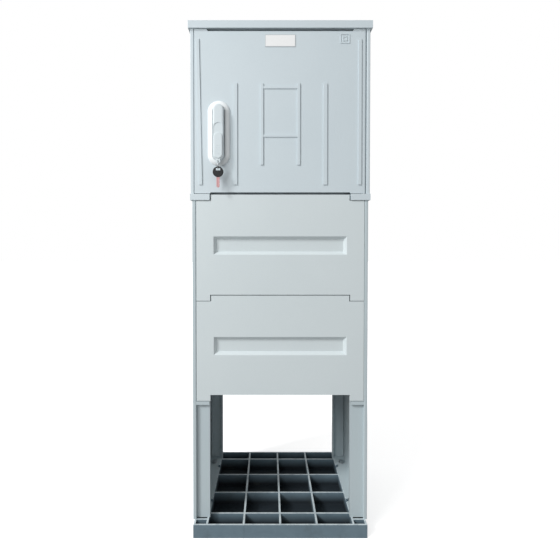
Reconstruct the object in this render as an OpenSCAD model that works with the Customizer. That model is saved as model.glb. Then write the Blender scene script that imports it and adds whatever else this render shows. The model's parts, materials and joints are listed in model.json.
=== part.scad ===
// Free-standing cable distribution cabinet on an open plinth with a ground grid.
// Millimetres. +Z is up, the door faces -Y, the origin is the middle of the grid's underside.

/* [Cabinet] */
// Width of the cabinet over its two side walls
cab_w = 460; // [400:5:800]
// Depth of the side walls, front edge to back edge
body_d = 320; // [260:5:420]
// Height of the cabinet side walls
cab_h = 420; // [360:5:700]
// Thickness of the moulded walls
wall_t = 4; // [3:0.5:5]
// Width of the rim that shows beside the door and the covers
rim_w = 9; // [8:0.5:14]
// Inward reach of the wall flanges behind that rim
flange_w = 38; // [30:1:44]
// Depth from the front plane to the flange that the door closes on
door_seat = 22; // [20:1:30]
// Height of the roof cap at its edge
roof_h = 19; // [16:1:40]
// Rise of the roof from its edge to its crown
roof_crown = 8; // [4:1:20]
// Overhang of the roof past the side walls
roof_over = 5; // [4:1:20]

/* [Plinth] */
// How much narrower than the cabinet the plinth is
plinth_in = 8; // [0:1:20]
// Height of the plinth side walls
plinth_h = 828; // [700:2:1000]
// Depth from the front plane to the flange that the covers lie on
cover_seat = 8; // [7:0.5:14]
// Height of the collar between plinth and cabinet
collar_h = 16; // [12:1:30]
// How much wider than the cabinet the collar is
collar_out = 2; // [0:0.5:6]
// Height of one cover from its bottom corners to its shoulders
cover_h = 258; // [200:2:270]
// Height of the tongue on top of a cover, and of the notch below it
tongue_h = 15; // [10:1:24]
// Gap between two covers, one above the other
cover_gap = 1.5; // [1:0.5:4]
// Width of the hand recess in a cover
grip_w = 343; // [200:1:350]
// Height of the hand recess in a cover
grip_h = 47; // [30:1:60]
// Depth of the hand recess in a cover
grip_deep = 9; // [6:0.5:12]

/* [Ground grid] */
// How much narrower than the plinth the grid is
grid_in = 8; // [0:1:20]
// Depth of the grid
grid_d = 364; // [300:2:480]
// Height of the grid
grid_h = 34; // [24:1:60]
// Thickness of the grid's ribs
grid_rib = 5; // [4:0.5:8]
// Thickness of the grid's closed floor
grid_floor = 2; // [1.5:0.5:4]
// Width of the strip under each side wall
grid_strip = 34.5; // [30:0.5:40]
// Depth of the pocket at each corner
grid_pocket = 23; // [20:0.5:30]
// Radius of the anchor hole in each corner pocket
anchor_r = 5.5; // [4:0.5:7]

/* [Door and handle] */
// Gap around the door
door_gap = 1; // [0.8:0.1:2]
// Height of the slot that airs the cabinet above and below the door
vent_gap = 4; // [3:0.5:6]
// Radius of the hinge pins
hinge_pin_r = 2.5; // [2:0.25:3]
// Distance of the handle's axis from the middle of the door
handle_x = 157; // [130:1:165]
// Height of the handle's turning axis above the foot of the cabinet
handle_z = 210; // [190:1:250]
// Length of the handle's dish
dish_l = 166; // [150:1:190]
// Width of the handle's dish
dish_w = 57; // [50:1:64]
// Width of the lever
lever_w = 28; // [24:1:32]
// Radius of the lock cylinder's housing
lock_r = 8.5; // [7:0.5:9]
// Number of teeth on the latch pinion
pinion_teeth = 14; // [14:2:16]
// Gear module of the latch pinion and its racks
gear_module = 1.5; // [1.25:0.25:1.5]
// Radius of the latch rods
rod_r = 4; // [3:0.5:5]
// Outer diameter of the key ring
ring_d = 18; // [16:1:20]
// Width of the black key head
key_w = 27; // [22:1:30]

/* [Inside] */
// Width of the mounting plate
board_w = 340; // [200:5:350]
// Height of the mounting plate
board_h = 340; // [200:5:350]
// Free depth between the mounting plate and the back panel
board_off = 31; // [15:1:60]
// Hole spacing of the mounting plate's spacers
board_pitch = 280; // [160:5:290]
// Hole spacing for equipment on the mounting plate
kit_pitch = 200; // [100:5:240]
// Width of the cable slot in the cabinet floor
slot_w = 64; // [40:2:100]
// Thickness of the floor plates
floor_t = 3; // [2:0.5:5]

/* [Hidden] */

$fn = 48;
eps = 0.1;          // overshoot of cutting tools
fit = 0.3;          // clearance where loose parts meet
thread_gap = 0.25;  // radial clearance of a bolt in its hole
run_gap = 0.05;     // radial clearance of a turning or sliding pin
rib_out = 2.5;      // height of the moulded ribs
rim_round = 2;      // rounding of the rims' edges

light_grey = "#cfd8dc";
dark_grid = "#4a5558";
black = "#15171a";
white = "#eef1f2";
zinc = "#b9bec2";
handle_grey = "#9aa3a8";
copper = "#c08a68";

front = -body_d / 2;
back = body_d / 2;
z_plinth = grid_h;
z_collar = z_plinth + plinth_h;
z_cab = z_collar + collar_h;
z_roof = z_cab + cab_h;

// covers, the upper one first
plinth_w = cab_w - plinth_in;
collar_w = cab_w + collar_out;
grid_w = plinth_w - grid_in;
cover_x = plinth_w / 2 - rim_w - door_gap;
tongue_x = collar_w / 2 - 53;
block_x = tongue_x + 3;
cover_z = [z_collar - 1 - cover_h, z_collar - 1 - 2 * cover_h - cover_gap];
cover_skin = 4;
cover_edge = 3;
peg_x = cover_x - 15;
peg_r = 4;
peg_at = [40, cover_h - 40];
peg_len = 14;
peg_hole_r = peg_r + 3;
ledge_h = 9;
grip_z = cover_h - 92 - grip_h / 2;
grip_slope = 8;

// plinth walls
plinth_x = plinth_w / 2;
plinth_flange_x = plinth_x - rim_w + wall_t - flange_w;
lip_d = 14;
foot_t = 4;
foot_bolt = [plinth_x - 20, body_d / 3];
foot_bolt_r = 4;
hook_y = body_d * 0.27;
hook_w = 6;
rail_y = back - 52;
rail_z = z_collar - 70;

// cabinet walls
cab_x = cab_w / 2;
cab_flange_x = cab_x - rim_w + wall_t - flange_w;
back_seat = 6;
shelf_t = 4;
joint_bolt = [cab_flange_x + 16, body_d / 2 - 60];
joint_bolt_r = 4;
back_t = 4;
back_screw_x = cab_flange_x + 20;
back_screw_z = [z_cab + 50, z_cab + cab_h / 2, z_roof - 50];

// door
door_x = cab_x - rim_w - door_gap;
door_skin = 4;
seat_y = front + door_seat;
door_rear = seat_y - 4;
door_z0 = z_cab + 1.5;
door_z1 = z_roof - 1;
door_lip = 9;
inner_rib = 115;
ladder_rib = 47;
symbol_x = 165;
hinge_r = 5;
hinge_x = door_x - hinge_r;
hinge_y = front + hinge_r;
hinge_hole = 15;
frame_h = 36;
frame_low = z_cab + frame_h;
frame_high = z_roof - frame_h;
frame_screw_y = seat_y + 9;
frame_screw_z = [z_cab + 24, z_roof - 24];

// handle
pivot_x = -handle_x;
pivot_z = z_cab + handle_z;
dish_z0 = pivot_z + dish_w / 2 - 1.5 - dish_l;
dish_h = 8.5;
dish_floor = 2.5;
dish_front = front - dish_h;
well_w = lever_w + 7;
lever_rear = dish_front - 0.5;
lever_t = 12;
lever_front = lever_rear - lever_t;
lever_z0 = pivot_z - 128;
lever_z1 = pivot_z + lever_w / 2;
spindle_r = 6;
lift_y = lever_rear - 5;
lift_z = pivot_z + 6;
lift_r = 4.5;
lift_pin_r = 2;
head_w = 10;
eye_z = pivot_z - 131;
eye_r = 2.5;
eye_t = 4;
lock_z = lever_z0 + 16;
plug_r = lock_r * 0.65;
lid_w = lever_w - 6;
lid_z0 = lever_z0 + 4.5;
lid_l = 65;
lid_t = 2.8;
lid_sink = 1.3;
lid_travel = 25;

// key ring and key, hanging from the lever's eye
wire_r = 0.9;
ring_r = ring_d / 2 - wire_r;
ring_y = lever_front + eye_t / 2;
ring_z = eye_z - eye_r + wire_r + fit - ring_r;
ring_low = ring_z - ring_r;
key_t = 3;
key_slot = [11, 6];
key_slot_z = ring_low + wire_r + fit - key_slot[1] / 2;
key_z = key_slot_z + key_slot[1] / 2 + 4 - key_w / 2;
blade_l = 26;
blade_w = 8;

// latch: a pinion on the spindle drives one rack on each side
latch_y = front + 34;
pitch_r = gear_module * pinion_teeth / 2;
pressure = 20;
rack_pitch = PI * gear_module;
tooth_add = 0.8 * gear_module;
tooth_ded = 1.2 * gear_module;
backlash = 0.3;
travel = pitch_r * PI / 2;
gear_t = 8;
rack_root = pitch_r + tooth_ded;
rack_back = rack_root + 6.7;
rod_x = (rack_root + rack_back) / 2;
rack_up = travel + 8;
case_x = rack_back + 3;
case_h = 34;
case_wall = 2.5;
case_ear = 9;
square_w = 8;
skin_rear = front + door_skin;
case_rear = latch_y + gear_t / 2 + fit + case_wall;
screw_r = 2;
guide_z = [pivot_z + 125, pivot_z - 125];

// inside
board_y = back - back_seat - board_off;
board_z = (frame_low + frame_high) / 2;
board_t = 3;
floor_x = cab_x - wall_t - 3;

// ---------------------------------------------------------------- shared shapes

// Box from its lowest corner to its highest corner
module span(a, b) {
  translate(a) cube([b[0] - a[0], b[1] - a[1], b[2] - a[2]]);
}

// Cylinder along Y from y0 to y1
module along_y(x, y0, y1, z, r) {
  translate([x, y1, z]) rotate([90, 0, 0]) cylinder(r = r, h = y1 - y0);
}

// Cylinder along X from x0 to x1
module along_x(x0, x1, y, z, r) {
  translate([x0, y, z]) rotate([0, 90, 0]) cylinder(r = r, h = x1 - x0);
}

// Stands an X-Z outline up and gives it depth from y0 to y1
module upright(y0, y1) {
  translate([0, y1, 0]) rotate([90, 0, 0]) linear_extrude(y1 - y0) children();
}

// Upright outline with round ends, centred on x = 0
module oblong(w, z0, z1) {
  translate([-w / 2, z0 + w / 2]) square([w, z1 - z0 - w]);
  translate([0, z0 + w / 2]) circle(d = w);
  translate([0, z1 - w / 2]) circle(d = w);
}

// Hexagon bolt head or nut, its axis along Z
module hexagon(z0, across, h) {
  translate([0, 0, z0]) cylinder(d = across / cos(30), h = h, $fn = 6);
}

// Places children at the four points plus and minus p
module corners(p) {
  for (sx = [-1, 1], sy = [-1, 1]) translate([sx * p[0], sy * p[1], 0]) children();
}

module left() {
  mirror([1, 0, 0]) children();
}

module rear() {
  rotate([0, 0, 180]) children();
}

// Screw along Y: shank from y0 to y1, head beyond y1
module screw_y(x, y0, y1, z, r, head_r, head_h) {
  along_y(x, y0, y1 + eps, z, r);
  along_y(x, y1, y1 + head_h, z, head_r);
}

// ---------------------------------------------------------------- ground grid

grid_col = (grid_w - 2 * grid_strip) / 4;
grid_row = grid_d * (1 - 2 * 0.128) / 3;
grid_lines_x = [for (i = [-2:2]) i * grid_col];
grid_lines_y = [for (i = [-1.5:1.5]) i * grid_row];
anchor = [grid_w / 2 - grid_strip / 2, grid_d / 2 - grid_pocket / 2];

module base_grid() {
  r = grid_rib / 2;
  color(dark_grid) difference() {
    union() {
      for (x = concat(grid_lines_x, [-grid_w / 2 + r, grid_w / 2 - r]))
        span([x - r, -grid_d / 2, 0], [x + r, grid_d / 2, grid_h]);
      for (y = concat(grid_lines_y, [-grid_d / 2 + r, grid_d / 2 - r]))
        span([-grid_w / 2, y - r, 0], [grid_w / 2, y + r, grid_h]);
      span([-grid_w / 2 + 1, -grid_d / 2 + 1, 0], [grid_w / 2 - 1, grid_d / 2 - 1, grid_floor]);
      // seam of the mould on the front face
      span([grid_lines_x[1] - 0.8, -grid_d / 2 - 0.6, 0], [grid_lines_x[1] + 0.8, -grid_d / 2 + 1, grid_h]);
      corners(anchor) {
        // floor of the corner pocket
        translate([-grid_strip / 2, -grid_pocket / 2, 0]) cube([grid_strip, grid_pocket, 5]);
      }
      for (sx = [-1, 1], sy = [-1, 1]) {
        // cross rib behind the corner pocket
        span([sx * anchor[0] - grid_strip / 2, sy * (grid_d / 2 - grid_pocket) - r, 0],
             [sx * anchor[0] + grid_strip / 2, sy * (grid_d / 2 - grid_pocket) + r, grid_h]);
        // hooked lug that rises through the notch in the wall's foot
        span([sx * grid_lines_x[4] - r, sy * hook_y - hook_w / 2, grid_h - 1],
             [sx * grid_lines_x[4] + r, sy * hook_y + hook_w / 2, grid_h + foot_t + 5]);
      }
      // boss for each foot bolt, on a cross rib
      corners(foot_bolt) {
        cylinder(r = 9, h = grid_h);
        translate([-14.5, -r, 0]) cube([29, grid_rib, grid_h - 4]);
      }
    }
    corners(anchor) translate([0, 0, -1]) cylinder(r = anchor_r, h = 8);
    corners(foot_bolt) translate([0, 0, 6]) cylinder(r = foot_bolt_r + run_gap, h = grid_h);
  }
}

module foot_bolts() {
  color(zinc) corners(foot_bolt) {
    translate([0, 0, 8]) cylinder(r = foot_bolt_r, h = grid_h + foot_t + 2 - 8);
    hexagon(grid_h + foot_t + 1.6 + fit, 13, 5.3);
  }
}

module foot_washers() {
  color(zinc) corners(foot_bolt) translate([0, 0, grid_h + foot_t + fit / 2]) difference() {
    cylinder(r = 8, h = 1.6);
    translate([0, 0, -1]) cylinder(r = foot_bolt_r + thread_gap, h = 4);
  }
}

// ---------------------------------------------------------------- walls

// Plan outline of the front edge of a right-hand wall: rim, return, flange and lip.
// seat is the depth of the flange's face behind the rim's face.
module edge_outline(x1, x_flange, seat) {
  x_rim = x1 - rim_w;
  r = rim_round;
  // rim with rounded edges
  translate([x_rim + r, front]) square([rim_w - 2 * r, wall_t]);
  translate([x_rim, front + r]) square([rim_w, wall_t - r]);
  for (x = [x_rim + r, x1 - r]) translate([x, front + r]) circle(r = r);
  translate([x_rim, front + r]) square([wall_t, seat + wall_t - r]);
  translate([x_flange, front + seat]) square([x_rim + wall_t - x_flange, wall_t]);
  translate([x_flange, front + seat]) square([wall_t, lip_d]);
}

module wall_outline(x1, x_flange, seat_front, seat_back) {
  translate([x1 - wall_t, front + rim_round]) square([wall_t, body_d - 2 * rim_round]);
  edge_outline(x1, x_flange, seat_front);
  mirror([0, 1]) edge_outline(x1, x_flange, seat_back);
}

// Right-hand wall of the plinth
module plinth_wall() {
  inner_y = back - cover_seat - wall_t + eps;
  difference() {
    union() {
      translate([0, 0, z_plinth]) linear_extrude(plinth_h)
        wall_outline(plinth_x, plinth_flange_x, cover_seat, cover_seat);
      // foot on the grid, and shelf under the collar
      for (z = [z_plinth, z_collar - shelf_t])
        span([plinth_flange_x + wall_t - eps, -inner_y, z], [plinth_x - wall_t + eps, inner_y, z + shelf_t]);
      // ledge under the lower cover
      for (m = [0, 1]) mirror([0, m, 0])
        span([plinth_flange_x, front + 0.5, cover_z[1] - 1.5 - ledge_h],
             [plinth_x - rim_w + 1, front + cover_seat + 1, cover_z[1] - 1.5]);
    }
    for (side = [-1, 1]) {
      for (z = cover_z, dz = peg_at)
        along_y(peg_x, side * (back - 10) - 10, side * (back - 10) + 10, z + dz, peg_hole_r);
      // notch for the grid's hooked lug
      span([plinth_flange_x - 1, side * hook_y - hook_w / 2 - 3, z_plinth - 1],
           [grid_lines_x[4] + grid_rib / 2 + 2, side * hook_y + hook_w / 2 + 3, z_plinth + foot_t + 1]);
      translate([foot_bolt[0], side * foot_bolt[1], z_plinth - 1])
        cylinder(r = foot_bolt_r + thread_gap, h = foot_t + 2);
      translate([joint_bolt[0], side * joint_bolt[1], z_collar - 10])
        cylinder(r = joint_bolt_r + thread_gap, h = 20);
      along_x(plinth_x - 10, plinth_x + 10, rail_y + side * 22, rail_z, 3 + thread_gap);
    }
  }
}

module plinth_wall_right() {
  color(light_grey) plinth_wall();
}

module plinth_wall_left() {
  color(light_grey) left() plinth_wall();
}

// Rubber grommets for the pegs of the two front covers
module grommets() {
  for (sx = [-1, 1], z = cover_z, dz = peg_at)
    translate([sx * peg_x, front + cover_seat, z + dz]) rotate([-90, 0, 0]) difference() {
      union() {
        cylinder(r = peg_hole_r - 0.1, h = wall_t + 1);
        translate([0, 0, wall_t + fit / 2]) cylinder(r = peg_hole_r + 2, h = 2);
      }
      translate([0, 0, -1]) cylinder(r = peg_r + run_gap, h = wall_t + 6);
    }
}

module cover_grommets_front() {
  color(black) grommets();
}

module cover_grommets_back() {
  color(black) rear() grommets();
}

module collar_frame() {
  y1 = back + 3;
  inner = plinth_flange_x + 5;
  color(light_grey) difference() {
    union() {
      for (m = [0, 1]) mirror([m, 0, 0])
        span([inner, -y1, z_collar], [collar_w / 2, y1, z_cab]);
      for (m = [0, 1], n = [0, 1]) mirror([0, m, 0]) mirror([n, 0, 0]) {
        // bar behind the covers' tongues, and block that shows beside them
        span([-eps, front + 12, z_collar], [inner + eps, front + 40, z_cab]);
        span([block_x, -y1, z_collar], [inner + eps, front + 13, z_cab]);
      }
    }
    corners(joint_bolt) translate([0, 0, z_collar - 1])
      cylinder(r = joint_bolt_r + thread_gap, h = collar_h + 2);
    translate([hinge_x, hinge_y, z_cab - 12]) cylinder(r = hinge_pin_r + run_gap, h = 20);
  }
}

module collar_bolts() {
  z1 = z_cab + shelf_t + floor_t + fit;
  color(zinc) corners(joint_bolt) {
    translate([0, 0, z_collar - 18]) cylinder(r = joint_bolt_r, h = z1 + 1 - z_collar + 18);
    hexagon(z1, 13, 5.3);
  }
}

module collar_nuts() {
  color(zinc) corners(joint_bolt) difference() {
    hexagon(z_collar - shelf_t - 6.5 - fit, 13, 6.5);
    translate([0, 0, z_collar - 30]) cylinder(r = joint_bolt_r + run_gap, h = 40);
  }
}

// ---------------------------------------------------------------- plinth covers

// Front view of a cover: shoulders, tongue on top and notch below
module cover_outline(inset) {
  difference() {
    union() {
      translate([-cover_x + inset, inset]) square([2 * (cover_x - inset), cover_h - 2 * inset]);
      translate([-tongue_x + inset, cover_h / 2])
        square([2 * (tongue_x - inset), cover_h / 2 + tongue_h - inset]);
    }
    translate([-tongue_x - 2.5 - inset, -eps])
      square([2 * (tongue_x + 2.5 + inset), tongue_h + 0.5 + inset + eps]);
  }
}

// Block that narrows by slope on every side from y0 to y1, centred on the hand recess
module tapered(w, h, y0, y1, slope) {
  hull() {
    span([-w / 2, y0, grip_z - h / 2], [w / 2, y0 + 0.01, grip_z + h / 2]);
    span([-w / 2 + slope, y1 - 0.01, grip_z - h / 2 + slope], [w / 2 - slope, y1, grip_z + h / 2 - slope]);
  }
}

// Front cover: tray with a hand recess and four pegs
module cover(z0) {
  color(light_grey) translate([0, 0, z0]) difference() {
    union() {
      difference() {
        upright(front, front + cover_seat - fit) cover_outline(0);
        upright(front + cover_skin, front + cover_seat + 1) cover_outline(cover_edge);
      }
      tapered(grip_w + 8, grip_h + 8, front + cover_skin - 1, front + grip_deep + 3, grip_slope - 1);
      for (sx = [-1, 1], dz = peg_at)
        along_y(sx * peg_x, front + cover_skin - 1, front + cover_seat + peg_len, dz, peg_r);
    }
    tapered(grip_w, grip_h, front - 0.01, front + grip_deep, grip_slope);
  }
}

module front_cover_upper() {
  cover(cover_z[0]);
}

module front_cover_lower() {
  cover(cover_z[1]);
}

module back_cover_upper() {
  rear() cover(cover_z[0]);
}

module back_cover_lower() {
  rear() cover(cover_z[1]);
}

// ---------------------------------------------------------------- clamp rail

module clamp_rail() {
  x1 = plinth_x - wall_t - fit;
  color(zinc) difference() {
    union() {
      span([-x1, rail_y - 15, rail_z - 7], [x1, rail_y + 15, rail_z + 8]);
      for (m = [0, 1]) mirror([m, 0, 0])
        span([x1 - 3, rail_y - 30, rail_z - 12], [x1, rail_y + 30, rail_z + 12]);
    }
    span([-x1 + 3, rail_y - 13, rail_z - 5], [x1 - 3, rail_y + 13, rail_z + 6]);
    span([-x1 + 12, rail_y - 6, rail_z + 2], [x1 - 12, rail_y + 6, rail_z + 20]);
    for (m = [-1, 1]) along_x(-x1 - 1, x1 + 1, rail_y + m * 22, rail_z, 3 + thread_gap);
  }
}

module rail_bolts() {
  x1 = plinth_x - wall_t - fit - 3;
  color(zinc) for (m = [0, 1], side = [-1, 1]) mirror([m, 0, 0]) {
    along_x(x1 - 8, plinth_x + 1, rail_y + side * 22, rail_z, 3);
    along_x(plinth_x + fit, plinth_x + 3, rail_y + side * 22, rail_z, 6);
  }
}

// ---------------------------------------------------------------- cabinet

// Right-hand wall of the cabinet
module cabinet_wall() {
  difference() {
    union() {
      translate([0, 0, z_cab]) linear_extrude(cab_h)
        wall_outline(cab_x, cab_flange_x, door_seat, back_seat);
      for (z = [z_cab, z_roof - shelf_t])
        span([cab_flange_x + wall_t - eps, seat_y + wall_t - eps, z],
             [cab_x - wall_t + eps, back - back_seat - wall_t + eps, z + shelf_t]);
    }
    for (side = [-1, 1]) {
      translate([joint_bolt[0], side * joint_bolt[1], z_cab - 1])
        cylinder(r = joint_bolt_r + thread_gap, h = shelf_t + 2);
      translate([joint_bolt[0], side * joint_bolt[1], z_roof - shelf_t - 1])
        cylinder(r = 2.5 + thread_gap, h = shelf_t + 2);
    }
    for (z = back_screw_z) along_y(back_screw_x, back - 20, back, z, screw_r + thread_gap);
    for (z = frame_screw_z)
      along_x(cab_flange_x - 1, cab_flange_x + wall_t + 1, frame_screw_y, z, screw_r + thread_gap);
  }
}

module cabinet_wall_right() {
  color(light_grey) cabinet_wall();
}

module cabinet_wall_left() {
  color(light_grey) left() cabinet_wall();
}

module cabinet_back() {
  y0 = back - back_seat + fit;
  color(light_grey) difference() {
    union() {
      span([-door_x, y0, z_cab + 1], [door_x, y0 + back_t, z_roof - 1]);
      // stiffening ribs on the inside
      for (x = [-0.35, 0.35] * board_w)
        span([x - 4, y0 - 4, z_cab + 40], [x + 4, y0 + eps, z_roof - 40]);
    }
    for (sx = [-1, 1], z = back_screw_z)
      along_y(sx * back_screw_x, y0 - 5, back + 5, z, screw_r + thread_gap);
  }
}

module back_screws() {
  y1 = back - back_seat + 2 * fit + back_t;
  color(zinc) for (sx = [-1, 1], z = back_screw_z)
    screw_y(sx * back_screw_x, back - back_seat - wall_t - 6, y1, z, screw_r, 4.5, 2.5);
}

module roof() {
  x1 = cab_x + roof_over;
  y1 = back + roof_over;
  z1 = z_roof + roof_h;
  color(light_grey) difference() {
    union() {
      span([-x1, -y1, z_roof], [x1, y1, z1]);
      hull() {
        span([-x1, -y1, z1 - 1], [x1, y1, z1]);
        span([-x1 + 60, -y1 + 60, z1], [x1 - 60, y1 - 60, z1 + roof_crown]);
      }
    }
    difference() {
      span([-cab_x + 12, -back + 14, z_roof - 1], [cab_x - 12, back - 14, z1 - 4]);
      corners(joint_bolt) translate([0, 0, z_roof - 2]) cylinder(r = 8, h = roof_h);
    }
    corners(joint_bolt) translate([0, 0, z_roof - 1]) cylinder(r = 2.5 + run_gap, h = 13);
    translate([hinge_x, hinge_y, z_roof - 1]) cylinder(r = hinge_pin_r + run_gap, h = 13);
  }
}

module roof_screws() {
  z0 = z_roof - shelf_t - fit;
  color(zinc) corners(joint_bolt) {
    translate([0, 0, z0 - eps]) cylinder(r = 2.5, h = shelf_t + fit + 10);
    translate([0, 0, z0 - 3]) cylinder(r = 5, h = 3);
  }
}

module lintel() {
  color(light_grey) bar_with_ears(frame_high, z_roof - fit);
}

module sill() {
  color(light_grey) bar_with_ears(z_cab + fit, frame_low);
}

// Bar between the walls' lips: its ears lie against the lips and take the frame screws
module bar_with_ears(z0, z1) {
  x1 = cab_flange_x - fit;
  difference() {
    union() {
      span([-x1, seat_y, z0], [x1, seat_y + wall_t, z1]);
      // stiffening return along the inner edge
      z = z0 > board_z ? z0 : z1 - wall_t;
      span([-x1, seat_y, z], [x1, seat_y + lip_d, z + wall_t]);
      for (m = [0, 1]) mirror([m, 0, 0]) span([x1 - wall_t, seat_y, z0], [x1, seat_y + lip_d, z1]);
    }
    for (z = frame_screw_z) along_x(-x1 - 1, x1 + 1, frame_screw_y, z, screw_r + thread_gap);
  }
}

module frame_screws() {
  x0 = cab_flange_x - fit - wall_t;
  color(zinc) for (m = [0, 1], z = frame_screw_z) mirror([m, 0, 0]) {
    along_x(x0 - 2.5 - fit, x0 - fit, frame_screw_y, z, 4);
    along_x(x0 - fit - eps, x0 + 2 * wall_t + 4, frame_screw_y, z, screw_r);
  }
}

// Floor of the cabinet, from y0 to y1, on the walls' shelves
module floor_plate(y0, y1) {
  z0 = z_cab + shelf_t + fit / 2;
  color(zinc) difference() {
    span([-floor_x, y0, z0], [floor_x, y1, z0 + floor_t]);
    corners(joint_bolt) translate([0, 0, z0 - 1]) cylinder(r = joint_bolt_r + thread_gap, h = floor_t + 2);
  }
}

module floor_plate_front() {
  floor_plate(seat_y + lip_d + 1, -slot_w / 2);
}

module floor_plate_rear() {
  floor_plate(slot_w / 2, back - back_seat - lip_d - 1);
}

module mounting_plate() {
  color(zinc) difference() {
    span([-board_w / 2, board_y - board_t, board_z - board_h / 2],
         [board_w / 2, board_y, board_z + board_h / 2]);
    for (sx = [-1, 1], sz = [-1, 1]) {
      for (h = [[board_pitch / 2, 2.5 + thread_gap], [kit_pitch / 2, 3]])
        along_y(sx * h[0], board_y - 9, board_y + 9, board_z + sz * h[0], h[1]);
    }
  }
}

module board_spacers() {
  color(zinc) for (sx = [-1, 1], sz = [-1, 1])
    translate([sx * board_pitch / 2, back - back_seat, board_z + sz * board_pitch / 2])
      rotate([90, 0, 0]) difference() {
        cylinder(r = 7, h = board_off - fit);
        translate([0, 0, board_off - 14]) cylinder(r = 2.5 + run_gap, h = 20);
      }
}

module board_screws() {
  color(zinc) for (sx = [-1, 1], sz = [-1, 1]) {
    x = sx * board_pitch / 2;
    z = board_z + sz * board_pitch / 2;
    along_y(x, board_y - board_t - fit - eps, board_y + 11, z, 2.5);
    along_y(x, board_y - board_t - fit - 3, board_y - board_t - fit, z, 5);
  }
}

// ---------------------------------------------------------------- door

module door_panel() {
  rib_z0 = door_z0 + 22;
  rib_z1 = pivot_z + 72;
  symbol = 24;
  color(light_grey) difference() {
    union() {
      // skin with the round nose on the hinge side
      span([-door_x, front, door_z0], [hinge_x, skin_rear, door_z1]);
      translate([hinge_x, hinge_y, door_z0]) cylinder(r = hinge_r, h = door_z1 - door_z0);
      // returns at the sides, then their lips
      for (sx = [-1, 1]) {
        span([sx * door_x - (sx > 0 ? 4 : 0), sx > 0 ? hinge_y : skin_rear - 1, door_z0],
             [sx * door_x + (sx > 0 ? 0 : 4), door_rear, door_z1]);
        span([sx * (door_x - 2) - (sx > 0 ? door_lip : 0), door_rear - 3, door_z0],
             [sx * (door_x - 2) + (sx > 0 ? 0 : door_lip), door_rear, door_z1]);
      }
      // returns and lips above and below
      for (z = [[door_z0 + vent_gap, 1], [door_z1 - vent_gap, -1]]) {
        z1 = z[0] + z[1] * 4;
        z2 = z[0] + z[1] * (4 + door_lip);
        span([-door_x, skin_rear - 1, min(z[0], z1)], [door_x - 2, door_rear, max(z[0], z1)]);
        span([-door_x, door_rear - 3, min(z[0], z2)], [door_x - 2, door_rear, max(z[0], z2)]);
      }
      // ribs on the face
      leaning_rib(-door_x + 16, -door_x + 9, 8, rib_z0, door_z1 - 25);
      rib(door_x - 16.5, 8, rib_z0, door_z1 - 25);
      for (side = [-1, 1]) {
        rib(side * inner_rib, 10, rib_z0, rib_z1);
        rib(side * ladder_rib, 7, pivot_z - 136, rib_z1);
      }
      for (z = [pivot_z - 65, rib_z1 - 14])
        span([-ladder_rib, front - rib_out + 0.5, z], [ladder_rib, front + 1, z + 6]);
      // double square
      for (s = [symbol, symbol / 2]) upright(front - 1.2, front + 1)
        translate([symbol_x, door_z1 - 12 - symbol / 2]) difference() {
          square(s, center = true);
          square(s - 4, center = true);
        }
      // solid ends that hold the hinge pins
      for (z = [door_z0, door_z1 - hinge_hole - 3])
        span([hinge_x - 8, front + 1, z], [hinge_x + 2, hinge_y + 7, z + hinge_hole + 3]);
    }
    // airing slots above and below the middle of the door
    vent_cut(cab_flange_x - 3, door_z1 - vent_gap - 1, 1);
    vent_cut(cab_flange_x - 9, door_z0 + vent_gap - 1.5, -1);
    for (z = [door_z0 - 1, door_z1 - hinge_hole])
      translate([hinge_x, hinge_y, z]) cylinder(r = hinge_pin_r + run_gap, h = hinge_hole + 1);
    // handle: spindle hole and screw holes
    along_y(pivot_x, front - 1, skin_rear + 1, pivot_z, spindle_r + 0.5);
    for (z = [-50, -100]) along_y(pivot_x, front - 1, skin_rear + 1, pivot_z + z, screw_r + thread_gap);
    for (s = [-1, 1])
      along_y(pivot_x, front - 1, skin_rear + 1, pivot_z + s * (case_h + case_ear) / 2, screw_r + thread_gap);
    for (i = [0, 1]) along_y(guide_x(i) + 15, front + 1, skin_rear + 1, guide_z[i], screw_r + thread_gap);
  }
}

// Shallow cut with sloping ends across the door's upper edge (up = 1) or lower edge (up = -1)
module vent_cut(x, z, up) {
  upright(front - 5, seat_y)
    polygon([[-x, z], [x, z], [x + 8, z + 8 * up], [-x - 8, z + 8 * up]]);
}

// Rib on the door's face that leans from x0 at its foot to x1 at its top
module leaning_rib(x0, x1, w, z0, z1) {
  upright(front - rib_out, front + 1)
    polygon([[x0 - w / 2, z0], [x0 + w / 2, z0], [x1 + w / 2, z1], [x1 - w / 2, z1]]);
}

// Upright rib on the door's face
module rib(x, w, z0, z1) {
  span([x - w / 2, front - rib_out, z0], [x + w / 2, front + 1, z1]);
}

module door_gasket() {
  x1 = hinge_x;
  z0 = door_z0 + vent_gap + 5;
  z1 = door_z1 - vent_gap - 5;
  color(black) upright(door_rear, seat_y - fit) difference() {
    translate([-x1, z0]) square([2 * x1, z1 - z0]);
    translate([-x1 + 7, z0 + 7]) square([2 * x1 - 14, z1 - z0 - 14]);
  }
}

module label_plate() {
  color(white) span([-39, front - 1, door_z1 - 45], [39, front, door_z1 - 14]);
}

module hinge_pins() {
  color(zinc) {
    translate([hinge_x, hinge_y, z_cab - 11]) cylinder(r = hinge_pin_r, h = 11 + 1.5 + hinge_hole - 2);
    translate([hinge_x, hinge_y, door_z1 - hinge_hole + 2]) cylinder(r = hinge_pin_r, h = hinge_hole + 10);
  }
}

module hinge_washers() {
  color(zinc) translate([hinge_x, hinge_y, z_cab + 0.1]) difference() {
    cylinder(r = hinge_r, h = 1.3);
    translate([0, 0, -1]) cylinder(r = hinge_pin_r + run_gap, h = 4);
  }
}

// ---------------------------------------------------------------- handle

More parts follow.
